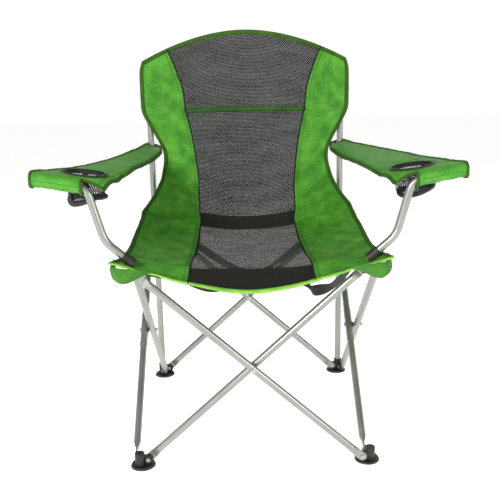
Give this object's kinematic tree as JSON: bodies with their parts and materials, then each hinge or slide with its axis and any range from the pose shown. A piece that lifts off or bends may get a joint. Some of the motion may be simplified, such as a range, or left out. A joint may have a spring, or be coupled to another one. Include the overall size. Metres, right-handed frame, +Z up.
{
  "type": "folding camp chair",
  "caption": "folding outdoor chair: crossed grey tube legs that gather like an umbrella, green sling seat and back with a mesh middle, and padded arms with mesh cup holders",
  "frame": {"origin": "on the floor, under the middle of the chair's outline", "axes": "+Z up, the sitter faces -Y, +X is to the right as seen from the front"},
  "size_m": [0.864, 0.556, 0.9401],
  "materials": {
    "grey_tube": "silver-grey powder coat",
    "moulded_black": "moulded black-brown plastic",
    "rivet_steel": "plain rivet heads",
    "green_polyester": "coated woven polyester",
    "dark_green_tape": "woven edge tape",
    "bright_tape": "woven edge tape, yellow-green",
    "open_mesh": "open polyester mesh",
    "black_webbing": "woven black webbing"
  },
  "bodies": {
    "rear_left_leg": {"rear_left_foot": "moulded_black", "rear_left_foot_rivets": "rivet_steel", "left_upright": "grey_tube", "back_mesh": "open_mesh", "lumbar_band": "dark_green_tape", "left_back_panel": "green_polyester", "right_back_panel": "green_polyester", "top_binding": "dark_green_tape"},
    "rear_outer_bar": {"rear_outer_tube": "grey_tube", "rear_cross_rivet": "rivet_steel", "rear_cross_washer": "moulded_black"},
    "rear_inner_bar": {"rear_inner_tube": "grey_tube"},
    "rear_right_leg": {"rear_right_foot": "moulded_black", "rear_right_foot_rivets": "rivet_steel", "right_upright": "grey_tube"},
    "rear_left_slider": {"rear_left_bracket": "moulded_black", "rear_left_bracket_rivets": "rivet_steel"},
    "rear_right_slider": {"rear_right_bracket": "moulded_black", "rear_right_bracket_rivets": "rivet_steel"},
    "left_inner_bar": {"left_inner_tube": "grey_tube"},
    "left_outer_bar": {"left_outer_tube": "grey_tube", "left_tube_sleeve": "grey_tube", "left_cross_rivet": "rivet_steel", "left_cross_washer": "moulded_black"},
    "front_left_foot_body": {"front_left_foot": "moulded_black", "front_left_foot_rivets": "rivet_steel"},
    "front_left_corner": {"front_left_bracket": "moulded_black", "front_left_bracket_rivets": "rivet_steel", "left_arm_post": "grey_tube", "left_corner_pocket": "green_polyester", "left_arm_fabric": "green_polyester", "left_cup_rim": "black_webbing", "left_cup_mesh": "open_mesh", "left_cup_ring": "black_webbing"},
    "front_inner_bar": {"front_inner_tube": "grey_tube"},
    "right_outer_bar": {"right_outer_tube": "grey_tube", "right_cross_rivet": "rivet_steel", "right_cross_washer": "moulded_black"},
    "right_inner_bar": {"right_inner_tube": "grey_tube", "right_tube_sleeve": "grey_tube"},
    "front_right_foot_body": {"front_right_foot": "moulded_black", "front_right_foot_rivets": "rivet_steel"},
    "front_right_corner": {"front_right_bracket": "moulded_black", "front_right_bracket_rivets": "rivet_steel", "right_arm_post": "grey_tube", "right_corner_pocket": "green_polyester", "right_arm_fabric": "green_polyester", "right_cup_rim": "black_webbing", "right_cup_mesh": "open_mesh", "right_cup_ring": "black_webbing"},
    "front_outer_bar": {"front_outer_tube": "grey_tube", "front_cross_rivet": "rivet_steel", "front_cross_washer": "moulded_black"},
    "seat": {"seat_mesh": "open_mesh", "left_seat_panel": "green_polyester", "right_seat_panel": "green_polyester", "front_binding": "bright_tape", "crossed_straps": "black_webbing"}
  },
  "joints": [
    {"name": "fold", "type": "hinge", "parent": "rear_left_leg", "child": "rear_outer_bar", "pos_m": [-0.232, 0.266, 0.014], "axis": [0, -1, 0], "range_deg": [0, 44], "deforming": ["back_mesh", "lumbar_band", "left_back_panel", "right_back_panel", "top_binding", "seat_mesh", "left_seat_panel", "right_seat_panel", "front_binding", "crossed_straps", "left_arm_fabric", "right_arm_fabric", "left_corner_pocket", "right_corner_pocket"]},
    {"name": "rear_cross", "type": "hinge", "parent": "rear_outer_bar", "child": "rear_inner_bar", "pos_m": [0, 0.256, 0.223], "axis": [0, -1, 0], "range_deg": [-88, 0]},
    {"name": "rear_right_foot_pivot", "type": "hinge", "parent": "rear_inner_bar", "child": "rear_right_leg", "pos_m": [0.232, 0.246, 0.014], "axis": [0, -1, 0], "range_deg": [0, 44]},
    {"name": "rear_left_slider_pivot", "type": "hinge", "parent": "rear_inner_bar", "child": "rear_left_slider", "pos_m": [-0.232, 0.246, 0.432], "axis": [0, -1, 0], "range_deg": [0, 44]},
    {"name": "rear_right_slider_pivot", "type": "hinge", "parent": "rear_outer_bar", "child": "rear_right_slider", "pos_m": [0.232, 0.266, 0.432], "axis": [0, -1, 0], "range_deg": [-44, 0]},
    {"name": "left_rear_foot_pivot", "type": "hinge", "parent": "rear_left_leg", "child": "left_inner_bar", "pos_m": [-0.24, 0.238, 0.014], "axis": [-1, 0, 0], "range_deg": [0, 44]},
    {"name": "left_cross", "type": "hinge", "parent": "left_inner_bar", "child": "left_outer_bar", "pos_m": [-0.25, 0.006, 0.223], "axis": [-1, 0, 0], "range_deg": [-88, 0]},
    {"name": "left_front_foot_pivot", "type": "hinge", "parent": "left_outer_bar", "child": "front_left_foot_body", "pos_m": [-0.26, -0.226, 0.014], "axis": [-1, 0, 0], "range_deg": [0, 44]},
    {"name": "left_corner_pivot", "type": "hinge", "parent": "left_inner_bar", "child": "front_left_corner", "pos_m": [-0.24, -0.226, 0.432], "axis": [-1, 0, 0], "range_deg": [-44, 0]},
    {"name": "front_left_foot_pivot", "type": "hinge", "parent": "front_left_foot_body", "child": "front_inner_bar", "pos_m": [-0.232, -0.234, 0.014], "axis": [0, -1, 0], "range_deg": [0, 44]},
    {"name": "right_rear_foot_pivot", "type": "hinge", "parent": "rear_right_leg", "child": "right_outer_bar", "pos_m": [0.26, 0.238, 0.014], "axis": [-1, 0, 0], "range_deg": [0, 44]},
    {"name": "right_cross", "type": "hinge", "parent": "right_outer_bar", "child": "right_inner_bar", "pos_m": [0.25, 0.006, 0.223], "axis": [-1, 0, 0], "range_deg": [-88, 0]},
    {"name": "right_front_foot_pivot", "type": "hinge", "parent": "right_inner_bar", "child": "front_right_foot_body", "pos_m": [0.24, -0.226, 0.014], "axis": [-1, 0, 0], "range_deg": [0, 44]},
    {"name": "right_corner_pivot", "type": "hinge", "parent": "right_outer_bar", "child": "front_right_corner", "pos_m": [0.26, -0.226, 0.432], "axis": [-1, 0, 0], "range_deg": [-44, 0]},
    {"name": "front_right_foot_pivot", "type": "hinge", "parent": "front_right_foot_body", "child": "front_outer_bar", "pos_m": [0.232, -0.254, 0.014], "axis": [0, -1, 0], "range_deg": [-44, 0]},
    {"name": "seat_swing", "type": "hinge", "parent": "rear_left_leg", "child": "seat", "pos_m": [0, 0.085, 0.285], "axis": [-1, 0, 0], "range_deg": [0, 76]}
  ],
  "couplings": [
    {"joint": "rear_cross", "follows": "fold", "ratio": -2},
    {"joint": "rear_right_foot_pivot", "follows": "fold", "ratio": 1},
    {"joint": "rear_left_slider_pivot", "follows": "fold", "ratio": 1},
    {"joint": "rear_right_slider_pivot", "follows": "fold", "ratio": -1},
    {"joint": "left_rear_foot_pivot", "follows": "fold", "ratio": 1},
    {"joint": "left_cross", "follows": "fold", "ratio": -2},
    {"joint": "left_front_foot_pivot", "follows": "fold", "ratio": 1},
    {"joint": "left_corner_pivot", "follows": "fold", "ratio": -1},
    {"joint": "front_left_foot_pivot", "follows": "fold", "ratio": 1},
    {"joint": "right_rear_foot_pivot", "follows": "fold", "ratio": 1},
    {"joint": "right_cross", "follows": "fold", "ratio": -2},
    {"joint": "right_front_foot_pivot", "follows": "fold", "ratio": 1},
    {"joint": "right_corner_pivot", "follows": "fold", "ratio": -1},
    {"joint": "front_right_foot_pivot", "follows": "fold", "ratio": -1},
    {"joint": "seat_swing", "follows": "fold", "ratio": 1.7273}
  ]
}
